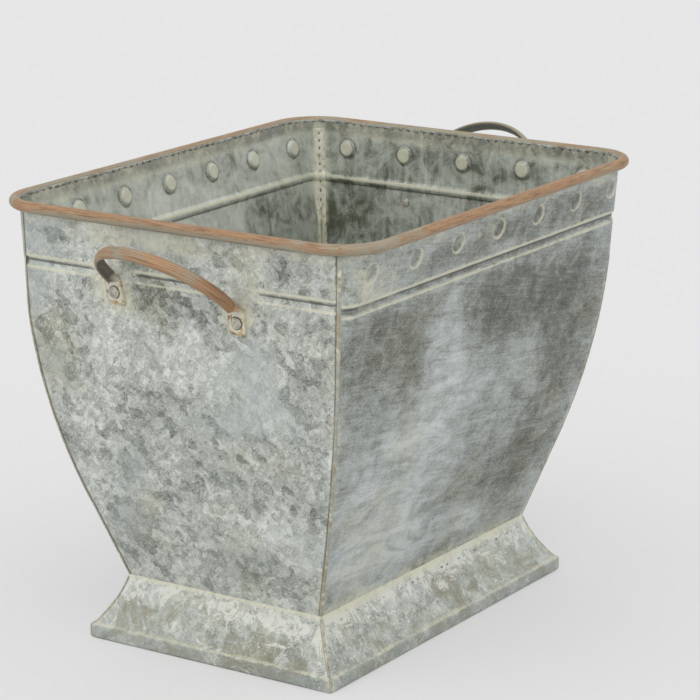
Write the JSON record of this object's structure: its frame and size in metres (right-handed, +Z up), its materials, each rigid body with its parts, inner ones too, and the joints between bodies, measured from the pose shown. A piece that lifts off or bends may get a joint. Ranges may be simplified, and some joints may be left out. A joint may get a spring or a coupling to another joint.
{
  "type": "zinc planter",
  "caption": "Rectangular zinc planter with bellied walls, a wired rolled rim, pressed dimples and bead, a flared foot and riveted bow handles.",
  "frame": {"origin": "centre of the planter on the ground it stands on", "axes": "+Z up, +X along the long side towards the right handle, -Y towards the front long wall"},
  "size_m": [0.463, 0.306, 0.3208],
  "materials": {
    "zinc_sheet": "aged galvanised sheet with spangle, brushed streaks and a pale wash",
    "solder": "brown tarnished solder line",
    "rim_wire": "plain drawn wire",
    "handle_strap": "copper brown patina worn to grey",
    "rivet": "dull hammered heads"
  },
  "bodies": {
    "root": {"end_panel_left": "zinc_sheet", "end_panel_right": "zinc_sheet", "long_panel_front": "zinc_sheet", "long_panel_back": "zinc_sheet", "foot_panel_left": "zinc_sheet", "foot_panel_right": "zinc_sheet", "foot_panel_front": "zinc_sheet", "foot_panel_back": "zinc_sheet", "corner_solder_front_left": "solder", "corner_solder_front_right": "solder", "corner_solder_back_left": "solder", "corner_solder_back_right": "solder", "foot_solder_front_left": "solder", "foot_solder_front_right": "solder", "foot_solder_back_left": "solder", "foot_solder_back_right": "solder", "rim_wire": "rim_wire", "floor_plate": "zinc_sheet", "handle_left": "handle_strap", "handle_right": "handle_strap", "handle_rivets_left": "rivet", "handle_rivets_right": "rivet"}
  },
  "joints": []
}
